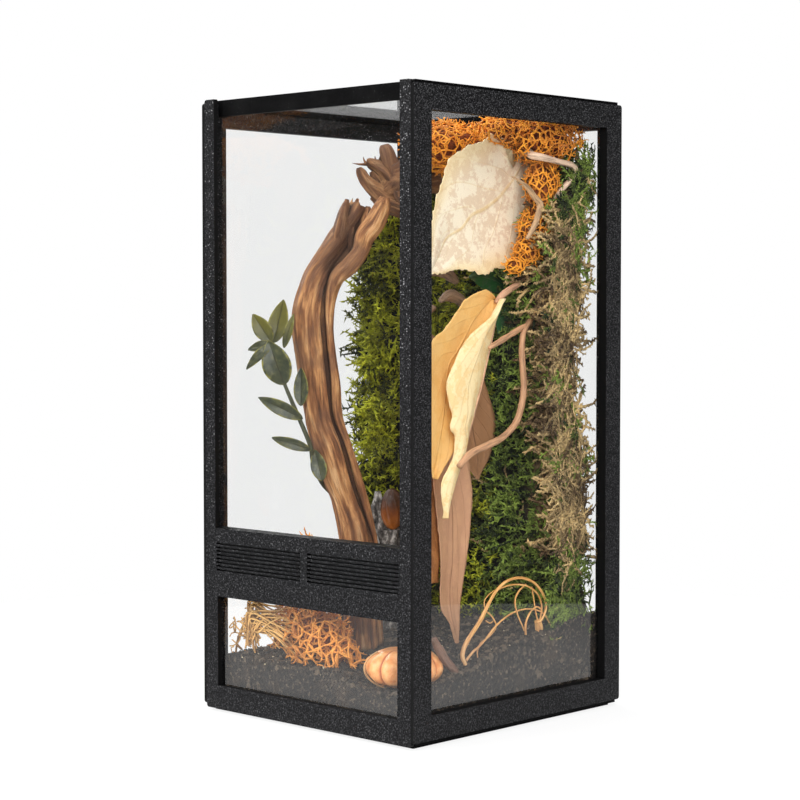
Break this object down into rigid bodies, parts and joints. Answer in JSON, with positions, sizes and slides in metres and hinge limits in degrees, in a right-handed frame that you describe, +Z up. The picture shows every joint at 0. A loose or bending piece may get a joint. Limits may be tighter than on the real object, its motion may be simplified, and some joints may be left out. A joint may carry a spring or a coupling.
{
  "type": "reptile terrarium",
  "caption": "Small upright terrarium: black frame panels, clear sheets, a front door that slides up, vented bar, low window, lift-off lid, planted inside.",
  "frame": {"origin": "centre of the footprint at the ground, under the foot plate", "axes": "+X to the right seen from the front, +Y to the back, +Z up; the front face with the door looks along -Y"},
  "size_m": [0.095, 0.1, 0.2],
  "materials": {
    "panel_black": "textured matte print, fine speckle",
    "edge_black": "smooth printed side wall with fine layer lines",
    "clear_sheet": "polished clear acrylic",
    "gauze_black": "fine black gauze",
    "soil_mix": "loose crumbly substrate",
    "moss_green": "dried sheet moss",
    "driftwood": "weathered, grained",
    "foliage_green": "waxy leaf",
    "pale_leaf_skin": "dried leaf, blotched",
    "amber_leaf_skin": "dried leaf",
    "tan_leaf_skin": "dried leaf, ribbed",
    "stem_brown": "dried stem",
    "lichen_orange": "dyed branching lichen",
    "tendril_tan": "dried tendril",
    "pod_orange": "dried ribbed pod",
    "bark_grey": "weathered bark"
  },
  "bodies": {
    "enclosure": {"base_tray": "edge_black", "left_panel": "panel_black", "right_panel": "panel_black", "back_panel": "panel_black", "front_panel": "panel_black", "vent_gauze": "gauze_black", "left_sheet": "clear_sheet", "right_sheet": "clear_sheet", "back_sheet": "clear_sheet", "low_front_sheet": "clear_sheet", "soil": "soil_mix", "moss_wall": "moss_green", "driftwood_trunk": "driftwood", "driftwood_crown": "driftwood", "plant_sprig": "foliage_green", "pale_leaf": "pale_leaf_skin", "folded_leaf": "amber_leaf_skin", "strip_leaf": "tan_leaf_skin", "brown_leaf": "tan_leaf_skin", "green_leaves": "foliage_green", "climbing_stem": "stem_brown", "curly_tendril": "tendril_tan", "lichen_top": "lichen_orange", "lichen_low": "lichen_orange", "lichen_tan": "tendril_tan", "pumpkin_pod": "pod_orange", "root_piece": "stem_brown", "bark_piece": "bark_grey", "amber_bud": "amber_leaf_skin"},
    "door": {"sliding_door": "clear_sheet"},
    "lid": {"lid_plate": "edge_black", "lid_sheet": "clear_sheet"}
  },
  "joints": [
    {"name": "door_slide", "type": "slide", "parent": "enclosure", "child": "door", "axis": [0, 0, 1], "range_m": [0, 0.125]},
    {"name": "lid_lift", "type": "slide", "parent": "enclosure", "child": "lid", "axis": [0, 0, 1], "range_m": [0, 0.06]}
  ]
}
